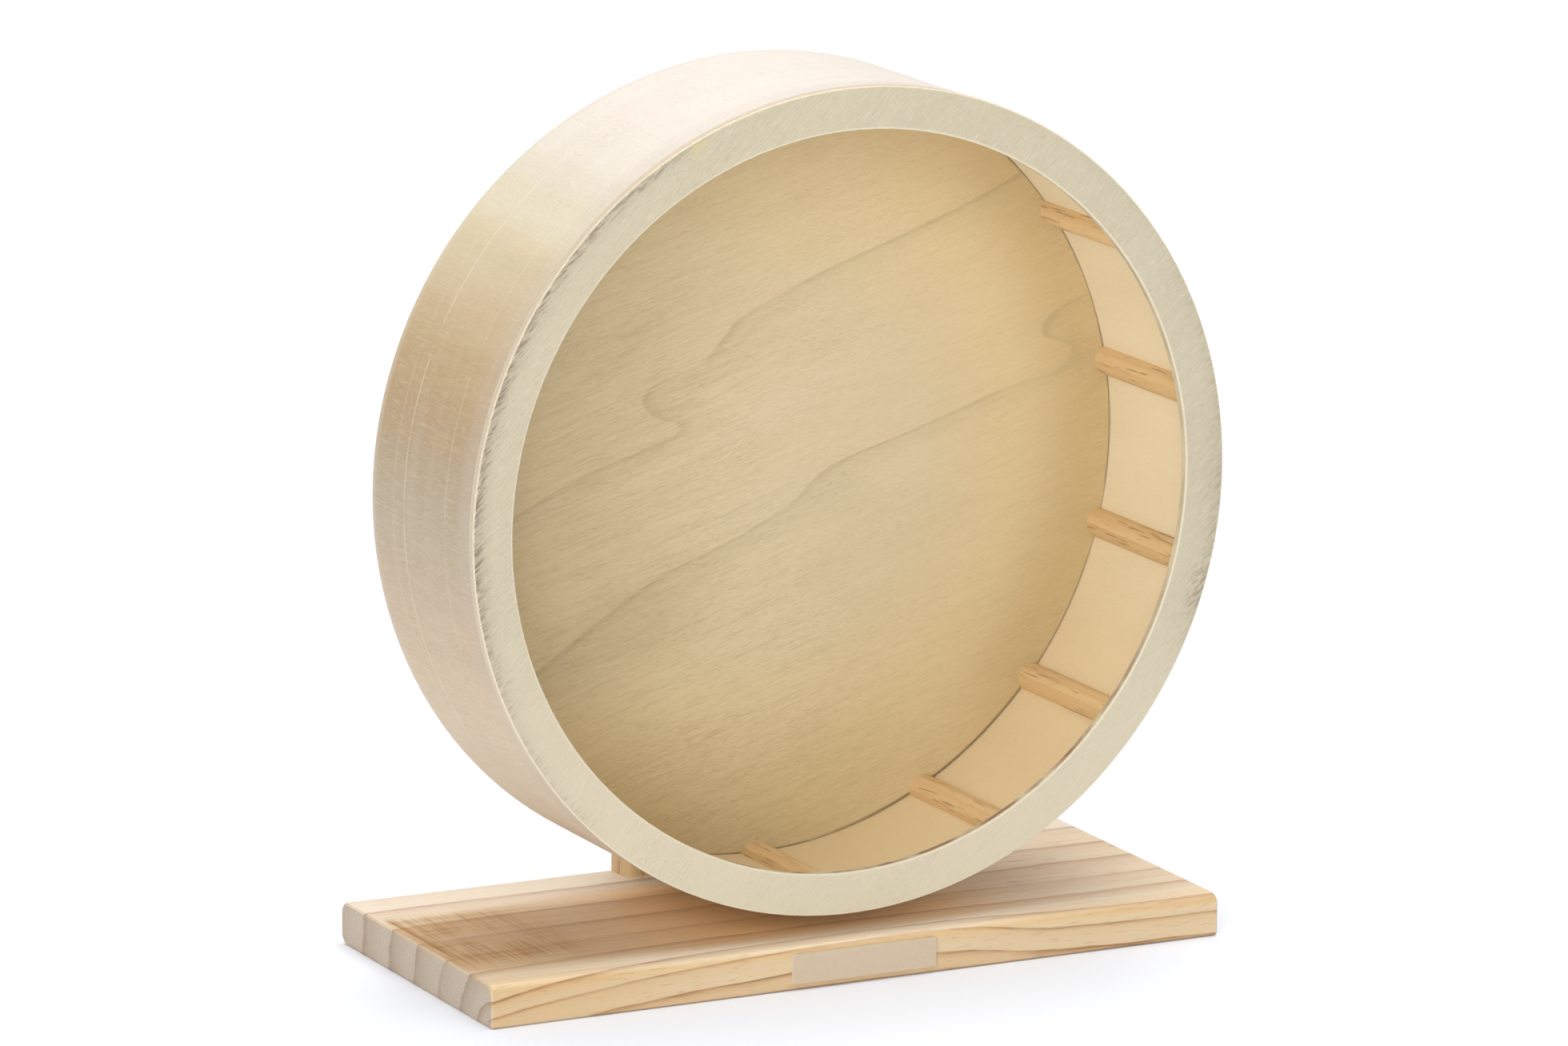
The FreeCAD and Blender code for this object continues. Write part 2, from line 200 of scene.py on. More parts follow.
def dress(finish, *names):
    """Gives a finish to pieces that keep their own mesh."""
    for name in names:
        for slot in nodes[name].material_slots:
            slot.material = finish


def new_effect(name, **takes):
    """An empty shader group with named inputs; gives the group and its inputs."""
    group = bpy.data.node_groups.new(name, "ShaderNodeTree")
    for socket, kind in takes.items():
        group.interface.new_socket(socket, in_out="INPUT", socket_type="NodeSocket" + kind)
    return group, group.nodes.new("NodeGroupInput").outputs


def end_effect(group, values):
    """Gives a shader group its named outputs."""
    for name in values:
        group.interface.new_socket(name, in_out="OUTPUT", socket_type="NodeSocketFloat")
    leave = group.nodes.new("NodeGroupOutput")
    for name, value in values.items():
        group.links.new(value, leave.inputs[name])


def use_effect(tree, group, **values):
    """Places a shader group in a material and gives its outputs."""
    node = tree.nodes.new("ShaderNodeGroup")
    node.node_tree = group
    for name, value in values.items():
        feed(tree, node.inputs[name], value)
    return node.outputs


# The grain of pine, with the length of the plank along the first axis
pine, given = new_effect("pine grain", Place="Vector", Growth="Float")
place = given["Place"]
growth = swayed(pine, given["Growth"], grain_noise(pine, place, (14, 90, 90), 3.0), 0.22)
growth = swayed(pine, growth, grain_noise(pine, place, (70, 800, 800), 2.0), 0.09)
season = reckon(pine, "FRACT", growth)
year = pine.nodes.new("ShaderNodeTexWhiteNoise")
year.noise_dimensions = "1D"
feed(pine, year.inputs["W"], reckon(pine, "FLOOR", growth))
boldness = reckon(pine, "MULTIPLY_ADD", year.outputs["Value"], 0.45, 0.55)
year_end = ramp(pine, season, 0.962, 1.0, 1.0, 0.0)
come_and_go = flecks(pine, place, (24, 260, 260), 3.0, 0.30, 0.66, 0.30, 1.0, 0.6)
streak = grain_noise(pine, place, (22, 1100, 1100), 3.0, 0.6)
dash = flecks(pine, place, (150, 2600, 2600), 1.0, 0.66, 0.74)
end_effect(pine, {
    "Ring": product(pine, ramp(pine, season, 0.76, 0.955), year_end, boldness, come_and_go),
    "Line": product(pine, ramp(pine, season, 0.87, 0.94), year_end, boldness, come_and_go),
    "Summer": product(pine, ramp(pine, season, 0.20, 0.95), year_end, boldness),
    "Fibre": streak,
    "Fleck": dash,
    "Height": reckon(pine, "SUBTRACT", streak, reckon(pine, "MULTIPLY", dash, 0.8)),
})

# Places on the board are metres from the middle of its underside
base_pine, tree, shader, here = new_finish("planed pine, base")
along, depth, height = split(tree, here)
sideways, forwards, upwards = facing(tree, here)
along_share = ramp(tree, along, -BASE_HALF_LENGTH, BASE_HALF_LENGTH)
along_share.node.interpolation_type = "LINEAR"
heart_curve = drawn_curve(tree, along_share, HEART_HEIGHTS)
heart_height = reckon(tree, "MULTIPLY_ADD", heart_curve, HEART_RISE, HEART_LOWEST)
up_from_heart = reckon(tree, "SUBTRACT", height, heart_height)
back_from_heart = reckon(tree, "SUBTRACT", depth, HEART_DEPTH)
ring_points = tuple((radius * MM / RING_REACH, index / LAST_RING) for index, radius in enumerate(RING_RADII))
ring_share = reckon(tree, "DIVIDE", distance(tree, up_from_heart, back_from_heart), RING_REACH)
ring_count = reckon(tree, "MULTIPLY", drawn_curve(tree, ring_share, ring_points), LAST_RING)
grain = use_effect(tree, pine, Place=here, Growth=ring_count)
on_end = ramp(tree, reckon(tree, "ABSOLUTE", sideways), 0.6, 0.9)
on_top = ramp(tree, upwards, 0.55, 0.95)
off_top = ramp(tree, upwards, 0.95, 0.55)
strayed = swayed(tree, depth, grain_noise(tree, here, (9, 60, 60), 2.0), 0.016)
slant = reckon(tree, "MULTIPLY_ADD", reckon(tree, "MINIMUM", along, -0.05), -0.2, -0.02)
heart_rear = ramp(tree, reckon(tree, "ADD", strayed, slant), 0.024, 0.036, 1.0, 0.0)
# Painted light: the heartwood fades towards the middle, so the board under the drum is painted paler
heartwood_fade_and_painted_light = ramp(tree, along, -0.10, -0.035, 1.0, 0.22)
heartwood = product(tree, ramp(tree, strayed, -0.051, -0.039), heart_rear, heartwood_fade_and_painted_light)
near_middle = ramp(tree, reckon(tree, "ABSOLUTE", along), 0.085, 0.035)
# Away from the middle: the front strip is left paler under the drum as painted light
off_middle = ramp(tree, reckon(tree, "ABSOLUTE", reckon(tree, "ADD", along, 0.020)), 0.060, 0.085)
resin = flecks(tree, here, (75, 420, 420), 1.0, 0.70, 0.76)
belt_patch = flecks(tree, here, (40, 40, 40), 2.0, 0.34, 0.56, 0.25, 1.0)
belt_place = product(tree, ramp(tree, along, -0.082, -0.108), ramp(tree, along, -0.142, -0.139),
                     between(tree, depth, -0.034, 0.030, 0.006), belt_patch, on_top)
across_marks = flecks(tree, here, (1100, 26, 30), 3.0, 0.44, 0.60)
along_marks = flecks(tree, here, (24, 1000, 30), 3.0, 0.46, 0.62)
belt_marks = reckon(tree, "MULTIPLY_ADD", along_marks, 0.5, reckon(tree, "MULTIPLY", across_marks, 0.7))
end_groove = between(tree, along, -0.1392, -0.1368, 0.0006)
colour = layers(
    tree, tint(tree, seen(207, 185, 150), seen(245, 229, 204), on_top),
    ((220, 186, 138), 0.45, grain["Fibre"]),
    # Sapwood at both edges is pale, and the heartwood between them is browner, most of all at the left end.
    # Towards the middle it is painted paler as painted light, lifting the shade under the drum
    ((206, 164, 112), 0.70, heartwood, on_top),
    ((178, 130, 84), 0.22, ramp(tree, grain["Fibre"], 0.50, 0.72), on_top),
    ((250, 234, 208), 0.25, ramp(tree, grain["Fibre"], 0.46, 0.28), on_top),
    # Where the drum hangs close over the board its warm shade makes the wood look redder
    ((252, 200, 128), 0.62, near_middle, between(tree, depth, -46 * MM, 34 * MM, 5 * MM), on_top),
    ((242, 228, 212), 0.5, ramp(tree, strayed, 0.032, 0.042), on_top),
    # The rounded front edge and the left of the front face are more golden
    ((214, 178, 120), 0.40, between(tree, upwards, 0.25, 0.90, 0.15), ramp(tree, forwards, -0.1, -0.3)),
    # The front strip is more golden, except under the drum, where it is left paler as painted light
    ((234, 198, 142), 0.40, ramp(tree, strayed, -0.050, -0.056), off_middle, on_top),
    ((192, 153, 99), 0.30, ramp(tree, along, -0.04, -0.12), ramp(tree, forwards, -0.6, -0.9)),
    # Growth rings are bolder on the front than on the top
    ((190, 145, 90), 0.42, grain["Summer"], off_top),
    ((190, 144, 98), 0.30, grain["Summer"], on_top),
    ((155, 103, 50), 0.85, grain["Ring"], off_top),
    ((168, 120, 80), 0.42, grain["Ring"], on_top),
    ((118, 74, 34), 0.50, grain["Line"], off_top),
    ((140, 94, 58), 0.22, grain["Line"], on_top),
    ((150, 98, 56), 0.14, grain["Fleck"]),
    # A few short resin streaks lie on the right of the top
    ((172, 112, 62), 0.50, resin, ramp(tree, along, 0.055, 0.080), ramp(tree, depth, -0.040, -0.020), on_top),
    # Fine golden cross marks of the sanding belt, from the left end of the top inwards
    ((200, 156, 90), 0.22, belt_place),
    ((166, 112, 42), 0.62, belt_marks, belt_place),
    ((168, 112, 44), 0.75, end_groove, between(tree, depth, -0.040, 0.030, 0.004), across_marks, on_top),
)
# The sawn ends show the pores end on, so they look greyer
pores = flecks(tree, here, (300, 1500, 1500), 3.0, 0.30, 0.75, roughness=0.7)
end_colour = layers(
    tree, tint(tree, seen(193, 177, 158), seen(181, 162, 139), pores),
    ((156, 130, 104), 0.50, grain["Summer"]),
    ((127, 99, 72), 0.40, grain["Ring"]),
)
colour = tint(tree, colour, end_colour, on_end)
surface(tree, shader, colour, grain["Fibre"], 0.15, 0.50, grain["Height"], PLANED_RELIEF)
dress(base_pine, "base_board")

# Upright: a second pine board, round at the top, standing flush with the rear edge of the base. Its grain
# stands upright too, and it carries both ball bearings.
UPRIGHT_HEART = (0.012, 0.104)
UPRIGHT_RING_WIDTH = 6.5 * MM
UPRIGHT_LEAN = math.radians(5)
upright_pine, tree, shader, here = new_finish("planed pine, upright")
across, depth, height = split(tree, here)
lengthwise = mapped(tree, here, turn=(UPRIGHT_LEAN, math.radians(90), 0))
sideways = reckon(tree, "SUBTRACT", across, UPRIGHT_HEART[0])
tilted = reckon(tree, "MULTIPLY_ADD", height, math.tan(UPRIGHT_LEAN), depth)
backwards = reckon(tree, "SUBTRACT", tilted, UPRIGHT_HEART[1])
ring_count = reckon(tree, "DIVIDE", distance(tree, sideways, backwards), UPRIGHT_RING_WIDTH)
grain = use_effect(tree, pine, Place=lengthwise, Growth=ring_count)
colour = layers(
    tree, tint(tree, seen(212, 184, 139), seen(196, 155, 104), grain["Fibre"], 0.6),
    ((185, 138, 81), 0.40, grain["Summer"]),
    ((158, 104, 52), 0.70, grain["Ring"]),
    ((133, 85, 46), 0.35, grain["Fleck"]),
)
surface(tree, shader, colour, grain["Fibre"], 0.15, 0.50, grain["Height"], PLANED_RELIEF)
dress(upright_pine, "upright_board")

# Base screws: two countersunk wood screws of zinc plated steel, driven up through the base into the upright.
# Each has a cross recess in its sunk head, a plain neck and a coarse thread that runs out along the tip.
BASE_SCREW_SIZES = {
    "Head Radius": 4 * MM,
    "Shank Radius": 2 * MM,
    "Length": 39.4 * MM,
    "Pitch": 1.8 * MM,
    "Count": 2,
    "Spread": 24 * MM,
    "First Turn": 0.0,
    "Place": (0, 54 * MM, 0.6 * MM),
    "Turn": (0, 0, 0),
}
HEAD_LAND = 0.3 * MM
# The recess's two radii and depth are shares of the head's radius, and the neck is a share of the length.
# The core, the tip and the thread are shares of the shank's radius.
RECESS_SHARES = (0.60, 0.22, 0.50)
WING_SCALES = ((1, 0.25, 1), (0.25, 1, 1))
NECK_SHARE = 0.38
CORE_SHARE = 0.68
TIP_SHARE = 2.0
THREAD_SHARE = 0.25


def new_shape(name, sizes):
    """An empty geometry tree whose named inputs take these sizes; gives the tree and its inputs."""
    shape = bpy.data.node_groups.new(name, "GeometryNodeTree")
    kinds = {int: "NodeSocketInt", float: "NodeSocketFloat", tuple: "NodeSocketVector"}
    for size, value in sizes.items():
        shape.interface.new_socket(size, in_out="INPUT", socket_type=kinds[type(value)])
    shape.interface.new_socket("Mesh", in_out="OUTPUT", socket_type="NodeSocketGeometry")
    return shape, shape.nodes.new("NodeGroupInput").outputs


def form(shape, kind, inputs, **options):
    """Adds one geometry node with its options and named inputs."""
    node = shape.nodes.new("GeometryNode" + kind)
    for option, value in options.items():
        setattr(node, option, value)
    for name, value in inputs.items():
        for one in value if isinstance(value, list) else [value]:
            feed(shape, node.inputs[name], one)
    return node.outputs[0]


def joined(shape, x=0.0, y=0.0, z=0.0):
    """A vector made of three values."""
    node = shape.nodes.new("ShaderNodeCombineXYZ")
    for socket, value in zip(node.inputs, (x, y, z)):
        feed(shape, socket, value)
    return node.outputs[0]


def rotation(shape, turn):
    """A rotation made of three angles."""
    node = shape.nodes.new("FunctionNodeEulerToRotation")
    feed(shape, node.inputs[0], turn)
    return node.outputs[0]


def moved(shape, geometry, up):
    """Lifts a form along the third axis."""
    return form(shape, "Transform", {"Geometry": geometry, "Translation": joined(shape, z=up)})


def laid(shape, geometry, place, turn):
    """Turns a form and puts it in its place."""
    turned = rotation(shape, turn)
    return form(shape, "Transform", {"Geometry": geometry, "Translation": place, "Rotation": turned})


def spots_round(shape, count, turn, out):
    """Points round the third axis, each at its own turn and distance."""
    right = product(shape, reckon(shape, "COSINE", turn), out)
    over = product(shape, reckon(shape, "SINE", turn), out)
    return form(shape, "Points", {"Count": count, "Position": joined(shape, right, over)})


def column(shape, radius, start, end, sides=20):
    """A round bar along the third axis from one height to another."""
    tall = reckon(shape, "SUBTRACT", end, start)
    bar = form(shape, "MeshCylinder", {"Vertices": sides, "Radius": radius, "Depth": tall})
    return moved(shape, bar, reckon(shape, "MULTIPLY_ADD", tall, 0.5, start))


def cone(shape, sides, below, above, tall):
    """A cone that stands on the origin, from one radius below to another above."""
    sizes = {"Vertices": sides, "Radius Top": above, "Radius Bottom": below, "Depth": tall}
    return form(shape, "MeshCone", sizes)


def thread(shape, radius, depth, pitch, start, end, end_radius=None):
    """A right-hand screw thread of pointed section, wound from one height to another."""
    tall = reckon(shape, "SUBTRACT", end, start)
    middle = reckon(shape, "SUBTRACT", radius, depth)
    path = form(shape, "CurveSpiral", {
        "Resolution": 20,
        "Rotations": reckon(shape, "DIVIDE", tall, pitch),
        "Start Radius": middle,
        "End Radius": middle if end_radius is None else end_radius,
        "Height": tall,
        "Reverse": True,
    })
    upright_path = form(shape, "SetCurveNormal", {"Curve": path}, mode="Z_UP")
    section = form(shape, "CurvePrimitiveCircle", {"Resolution": 4, "Radius": depth})
    wound = form(shape, "CurveToMesh", {"Curve": upright_path, "Profile Curve": section, "Fill Caps": True})
    return moved(shape, wound, start)


def finish_shape(shape, geometry, finish):
    """Ends a geometry tree as a real mesh with one finish."""
    real = form(shape, "RealizeInstances", {"Geometry": geometry})
    clad = form(shape, "SetMaterial", {"Geometry": real, "Material": finish})
    leave = shape.nodes.new("NodeGroupOutput")
    shape.links.new(clad, leave.inputs[0])


def make_piece(name, shape, sizes):
    """Runs a geometry tree once with these sizes and keeps the plain mesh."""
    piece = bpy.data.objects.new(name, bpy.data.meshes.new(name + "_start"))
    bpy.context.scene.collection.objects.link(piece)
    modifier = piece.modifiers.new("shape", "NODES")
    modifier.node_group = shape
    for socket in shape.interface.items_tree:
        if socket.in_out == "INPUT":
            modifier[socket.identifier] = sizes[socket.name]
    evaluated = piece.evaluated_get(bpy.context.evaluated_depsgraph_get())
    mesh = bpy.data.meshes.new_from_object(evaluated)
    mesh.name = name
    piece.modifiers.remove(modifier)
    piece.data = mesh
    return piece


marks, given = new_effect("metal marks", Place="Vector")
end_effect(marks, {
    "Cloud": grain_noise(marks, given["Place"], (160, 160, 160), 4.0, 0.6),
    "Scratch": flecks(marks, given["Place"], (700, 6000, 700), 2.0, 0.55, 0.75),
})
zinc_steel, tree, shader, here = new_finish("zinc plated steel")
wear = use_effect(tree, marks, Place=here)
colour = tint(tree, seen(196, 202, 210), seen(214, 210, 196), wear["Cloud"])
colour = tint(tree, colour, seen(150, 152, 158), wear["Scratch"], 0.3)
surface(tree, shader, colour, wear["Cloud"], 0.25, 0.22, wear["Scratch"], 0.01 * MM)
shader.inputs["Metallic"].default_value = 1.0

screw, size = new_shape("wood screw", BASE_SCREW_SIZES)
shank = size["Shank Radius"]
core_radius = reckon(screw, "MULTIPLY", shank, CORE_SHARE)
head_cone = reckon(screw, "SUBTRACT", size["Head Radius"], shank)
neck_start = reckon(screw, "ADD", head_cone, HEAD_LAND)
thread_start = reckon(screw, "MULTIPLY", size["Length"], NECK_SHARE)
thread_depth = reckon(screw, "MULTIPLY", shank, THREAD_SHARE)
thread_end = reckon(screw, "SUBTRACT", size["Length"], thread_depth)
tip_length = reckon(screw, "MULTIPLY", shank, TIP_SHARE)
tip_start = reckon(screw, "SUBTRACT", size["Length"], tip_length)
head = cone(screw, 32, size["Head Radius"], shank, head_cone)
head = form(screw, "ExtrudeMesh", {
    "Mesh": head,
    "Selection": head.node.outputs["Bottom"],
    "Offset Scale": HEAD_LAND,
})
head = moved(screw, head, HEAD_LAND)
recess_sizes = [reckon(screw, "MULTIPLY", size["Head Radius"], share) for share in RECESS_SHARES]
wing = moved(screw, cone(screw, 4, *recess_sizes), -0.02 * MM)
wings = [form(screw, "Transform", {"Geometry": wing, "Scale": scale}) for scale in WING_SCALES]
one_screw = form(screw, "JoinGeometry", {"Geometry": [
    form(screw, "MeshBoolean", {"Mesh 1": head, "Mesh 2": wings}, operation="DIFFERENCE"),
    column(screw, shank, neck_start, thread_start),
    column(screw, core_radius, thread_start, tip_start),
    moved(screw, cone(screw, 20, core_radius, 0.0, tip_length), tip_start),
    thread(screw, shank, thread_depth, size["Pitch"], thread_start, tip_start),
    thread(screw, shank, thread_depth, size["Pitch"], tip_start, thread_end, 0.0),
]})
step = reckon(screw, "DIVIDE", 2 * math.pi, size["Count"])
number = screw.nodes.new("GeometryNodeInputIndex").outputs[0]
turn = reckon(screw, "MULTIPLY_ADD", number, step, size["First Turn"])
spots = spots_round(screw, size["Count"], turn, size["Spread"])
screws = form(screw, "InstanceOnPoints", {"Points": spots, "Instance": one_screw})
finish_shape(screw, laid(screw, screws, size["Place"], size["Turn"]), zinc_steel)
upright_screws = make_piece("upright_screws", screw, BASE_SCREW_SIZES)
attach(upright_screws, "stand")
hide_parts("base_screws")

# Label plate: a thin strip of beige card glued to the front edge of the base. It is bare here.
# Its cut edges are painted paler than its face, a painted highlight where they catch the light.
label_card, tree, shader, here = new_finish("beige card")
mottle = grain_noise(tree, here, (900, 900, 900), 3.0)
on_edge = ramp(tree, reckon(tree, "ABSOLUTE", facing(tree, here)[1]), 0.9, 0.5)
colour = tint(tree, seen(199, 180, 154), seen(190, 169, 142), mottle)
# Painted highlight on the cut edges
colour = tint(tree, colour, seen(215, 204, 183), on_edge)
surface(tree, shader, colour, mottle, 0.12, 0.42, mottle, 0.05 * MM)
dress(label_card, "label_plate")

# Ball bearings: two of hardened steel, pressed into the upright from both faces. The races are ground,
# so fine turning rings run round the axle, and thin shields keep the dust out.
AXLE_HEIGHT = 167.5 * MM
TURNING_WAVES = 38000.0


def length(tree, vector):
    """The length of a vector."""
    node = tree.nodes.new("ShaderNodeVectorMath")
    node.operation = "LENGTH"
    tree.links.new(vector, node.inputs[0])
    return node.outputs["Value"]


bearing_steel, tree, shader, here = new_finish("ground bearing steel")
wear = use_effect(tree, marks, Place=here)
from_axle = mapped(tree, here, shift=(0, 0, -AXLE_HEIGHT), scale=(1, 0, 1))
turning = reckon(tree, "SINE", reckon(tree, "MULTIPLY", length(tree, from_axle), TURNING_WAVES))
colour = tint(tree, seen(206, 208, 212), seen(222, 222, 224), wear["Cloud"])
surface(tree, shader, colour, wear["Cloud"], 0.14, 0.14, turning, 0.002 * MM)
shader.inputs["Metallic"].default_value = 1.0
for side in ("front", "rear"):
    dress(bearing_steel, *(f"{side}_{piece}" for piece in ("outer_race", "inner_race", "balls", "shields")))

# Ball cages and the ring inside the lock nut: moulded nylon, milky and slightly waxy.
# The cages hold the balls apart, and the ring grips the bolt's thread.
nylon, tree, shader, here = new_finish("milky nylon")
flow = grain_noise(tree, here, (240, 240, 240), 3.0)
colour = tint(tree, seen(232, 228, 214), seen(218, 212, 194), flow)
surface(tree, shader, colour, flow, 0.15, 0.30, flow, 0.02 * MM)
dress(nylon, "front_cage", "rear_cage", "nut_insert")

# Outer band: bendy plywood wrapped into a hoop and butted under one rung. Its face veneer has its grain along
# the axle, so the strokes run straight across the band, and the knife left thin pale lines the other way.
BAND_REAR = 29.5 * MM
LIP_REAR = -40.5 * MM
# Tones of the outer face by height above the axle: partly the veneer's own tone and partly painted light and
# shade, paler at the top and the bottom and darker down the sides
BAND_TONES_AND_PAINTED_LIGHT = ((-140, (219, 202, 180)), (-85, (208, 191, 164)), (-40, (192, 172, 147)), (5, (172, 158, 134)),
              (48, (175, 149, 113)), (98, (203, 190, 161)), (114, (212, 203, 187)), (143, (225, 216, 207)))
KNIFE_WANDER = 3 * MM
KNIFE_LINES = ((3.5, 0.4, 0.42), (12.0, 0.3, 0.16), (-29.0, 0.6, 0.14))
VENEER_RELIEF = 0.06 * MM


def tone_steps(tree, value, steps):
    """A colour that passes through tones given at heights above the axle, in millimetres."""
    node = tree.nodes.new("ShaderNodeValToRGB")
    lowest, highest = steps[0][0], steps[-1][0]
    blend = node.color_ramp
    blend.interpolation = "CARDINAL"
    blend.elements.remove(blend.elements[-1])
    for index, (level, tone) in enumerate(steps):
        share = (level - lowest) / (highest - lowest)
        stop = blend.elements[0] if index == 0 else blend.elements.new(share)
        stop.position = share
        stop.color = seen(*tone)
    low_end, high_end = lowest * MM, highest * MM
    level_share = reckon(tree, "DIVIDE", reckon(tree, "SUBTRACT", value, low_end), high_end - low_end)
    tree.links.new(level_share, node.inputs[0])
    return node.outputs[0]


def axle_polar(tree, here):
    """Distance from the axle's line and the two coordinates across it, in metres."""
    side, _, up = split(tree, mapped(tree, here, shift=(0, 0, -AXLE_HEIGHT)))
    return distance(tree, side, up), side, up


# Peeled poplar with its grain along the first axis: short strokes in patches, long fibres, pores and clouds
veneer, given = new_effect("poplar veneer", Place="Vector")
place = given["Place"]
silk = grain_noise(veneer, place, (300, 2300, 2300), 2.0)
scratch = grain_noise(veneer, place, (320, 2500, 2500), 2.0, 0.6)
long_fibre = grain_noise(veneer, place, (75, 1250, 1250), 2.0, 0.6)
patch = flecks(veneer, place, (26, 70, 70), 2.0, 0.36, 0.64, 0.15, 1.0)
dark_dash = product(veneer, ramp(veneer, scratch, 0.56, 0.72), patch, 0.6)
light_dash = product(veneer, ramp(veneer, scratch, 0.44, 0.28), patch, 0.6)
stroke = reckon(veneer, "MULTIPLY_ADD", ramp(veneer, silk, 0.48, 0.70), 0.5, dark_dash)
glint = reckon(veneer, "MULTIPLY_ADD", ramp(veneer, silk, 0.52, 0.30), 0.5, light_dash)
pore = product(veneer, flecks(veneer, place, (420, 4600, 4600), 1.0, 0.66, 0.78), patch)
end_effect(veneer, {
    "Stroke": stroke,
    "Glint": glint,
    "Dark Fibre": ramp(veneer, long_fibre, 0.50, 0.68),
    "Light Fibre": ramp(veneer, long_fibre, 0.48, 0.30),
    "Pore": pore,
    "Cloud": grain_noise(veneer, place, (5, 60, 60), 3.0, 0.55),
    "Height": reckon(veneer, "SUBTRACT", reckon(veneer, "SUBTRACT", glint, stroke), pore),
})

band_veneer, tree, shader, here = new_finish("poplar plywood, band")
depth = split(tree, here)[1]
radius, side, up = axle_polar(tree, here)
grain = use_effect(tree, veneer, Place=mapped(tree, here, turn=(0, 0, math.radians(-90))))
hairy = ramp(tree, up, 0.105, 0.020, 0.35, 1.0)
skin = layers(
    # The outer skin starts from the tones by height, partly painted light and shade
    tree, tone_steps(tree, swayed(tree, up, grain["Cloud"], 0.03), BAND_TONES_AND_PAINTED_LIGHT),
    ((192, 165, 129), 0.16, grain["Cloud"]),
    ((201, 186, 169), 0.10, flecks(tree, here, (7, 110, 7), 2.0, 0.42, 0.66)),
    ((168, 134, 96), 0.20, grain["Stroke"], hairy),
    ((223, 208, 184), 0.22, grain["Glint"], hairy),
    ((160, 132, 98), 0.12, grain["Dark Fibre"], hairy),
    ((228, 214, 192), 0.12, grain["Light Fibre"], hairy),
    ((159, 125, 90), 0.12, grain["Pore"]),
)
breaks = flecks(tree, here, (50, 4, 50), 3.0, 0.30, 0.52, 0.15, 1.0, 0.7)
wander = reckon(tree, "MULTIPLY_ADD", grain_noise(tree, here, (14, 1, 14), 1.0), KNIFE_WANDER, depth)
for line_depth, line_width, boldness in KNIFE_LINES:
    middle = line_depth * MM + KNIFE_WANDER / 2
    knife_line = between(tree, wander, middle - line_width * MM, middle + line_width * MM, 0.5 * MM)
    skin = layers(tree, skin, ((223, 208, 186), boldness, knife_line, breaks))
# The front strip was planed thinner to take the ring. It is painted paler as painted light where its slope
# turns to the light, with a painted shade line in the soft crease behind it
skin = layers(
    tree, skin,
    ((188, 176, 164), 0.24, ramp(tree, depth, LIP_REAR + 2.0 * MM, LIP_REAR - 2.5 * MM)),
    ((172, 145, 111), 0.12, between(tree, depth, LIP_REAR + 0.5 * MM, LIP_REAR + 1.5 * MM, 1.5 * MM)),
    ((207, 194, 177), 0.40, ramp(tree, depth, BAND_REAR - 5 * MM, BAND_REAR - 1 * MM)),
)
inner_skin = layers(
    tree, tint(tree, seen(236, 221, 189), seen(231, 213, 177), grain["Cloud"]),
    ((219, 189, 138), 0.55, ramp(tree, up, 0.0, -0.13)),
    ((199, 172, 132), 0.10, grain["Stroke"]),
)
colour = tint(tree, inner_skin, skin, ramp(tree, radius, 142.4 * MM, 143.2 * MM))
# Three layers show on the cut edges
on_edge = ramp(tree, reckon(tree, "ABSOLUTE", facing(tree, here)[1]), 0.5, 0.8)
core_layer = between(tree, radius, 142.2 * MM, 143.8 * MM, 0.15 * MM)
edge_tone = tint(tree, seen(216, 203, 179), seen(177, 148, 110), core_layer, 0.8)
colour = tint(tree, colour, edge_tone, on_edge)
surface(tree, shader, colour, grain["Stroke"], 0.12, 0.66, grain["Height"], VENEER_RELIEF)
shader.inputs["Specular IOR Level"].default_value = 0.25
dress(band_veneer, "outer_band")

# Back disc: the round plywood back of the drum, let into the band. Its face is one sheet of peeled poplar,
# laid with the grain rising to the right, where two soft growth lines fold back on themselves.
DISC_FRONT = 20.5 * MM
DISC_REAR = 29.5 * MM
DISC_EDGE = 140 * MM
DISC_LOWEST = 70 * MM
DISC_RISE = 200 * MM
DISC_LEFT = -150 * MM
DISC_ACROSS = 300 * MM
DISC_GRAIN_TURN = math.radians(17)
LONG_LINE = ((70, -138), (101, -86), (128, -43), (142, -8), (153, 14), (162, 25), (174, 61), (185, 95),
             (196, 125), (200, 122), (204, 113), (210, 115), (218, 132), (224, 145))
FOLDED_LINE = ((132, -150), (157, -95), (170, -66), (177, -43), (183, -31), (187, -40), (192, -45),
               (197, -44), (205, -23), (212, -16), (219, -9), (226, 5), (237, 33), (246, 60), (262, 100),
               (268, 110))


def towards(tree, polar, middle, reach, soft):
    """1 in directions from the axle within a reach of the middle one, in degrees, with soft ends."""
    radius, side, up = polar
    turn = math.radians(middle)
    forward = reckon(tree, "MULTIPLY_ADD", up, math.sin(turn), reckon(tree, "MULTIPLY", side, math.cos(turn)))
    closeness = reckon(tree, "DIVIDE", forward, radius)
    return ramp(tree, closeness, math.cos(math.radians(reach + soft)), math.cos(math.radians(reach - soft)))


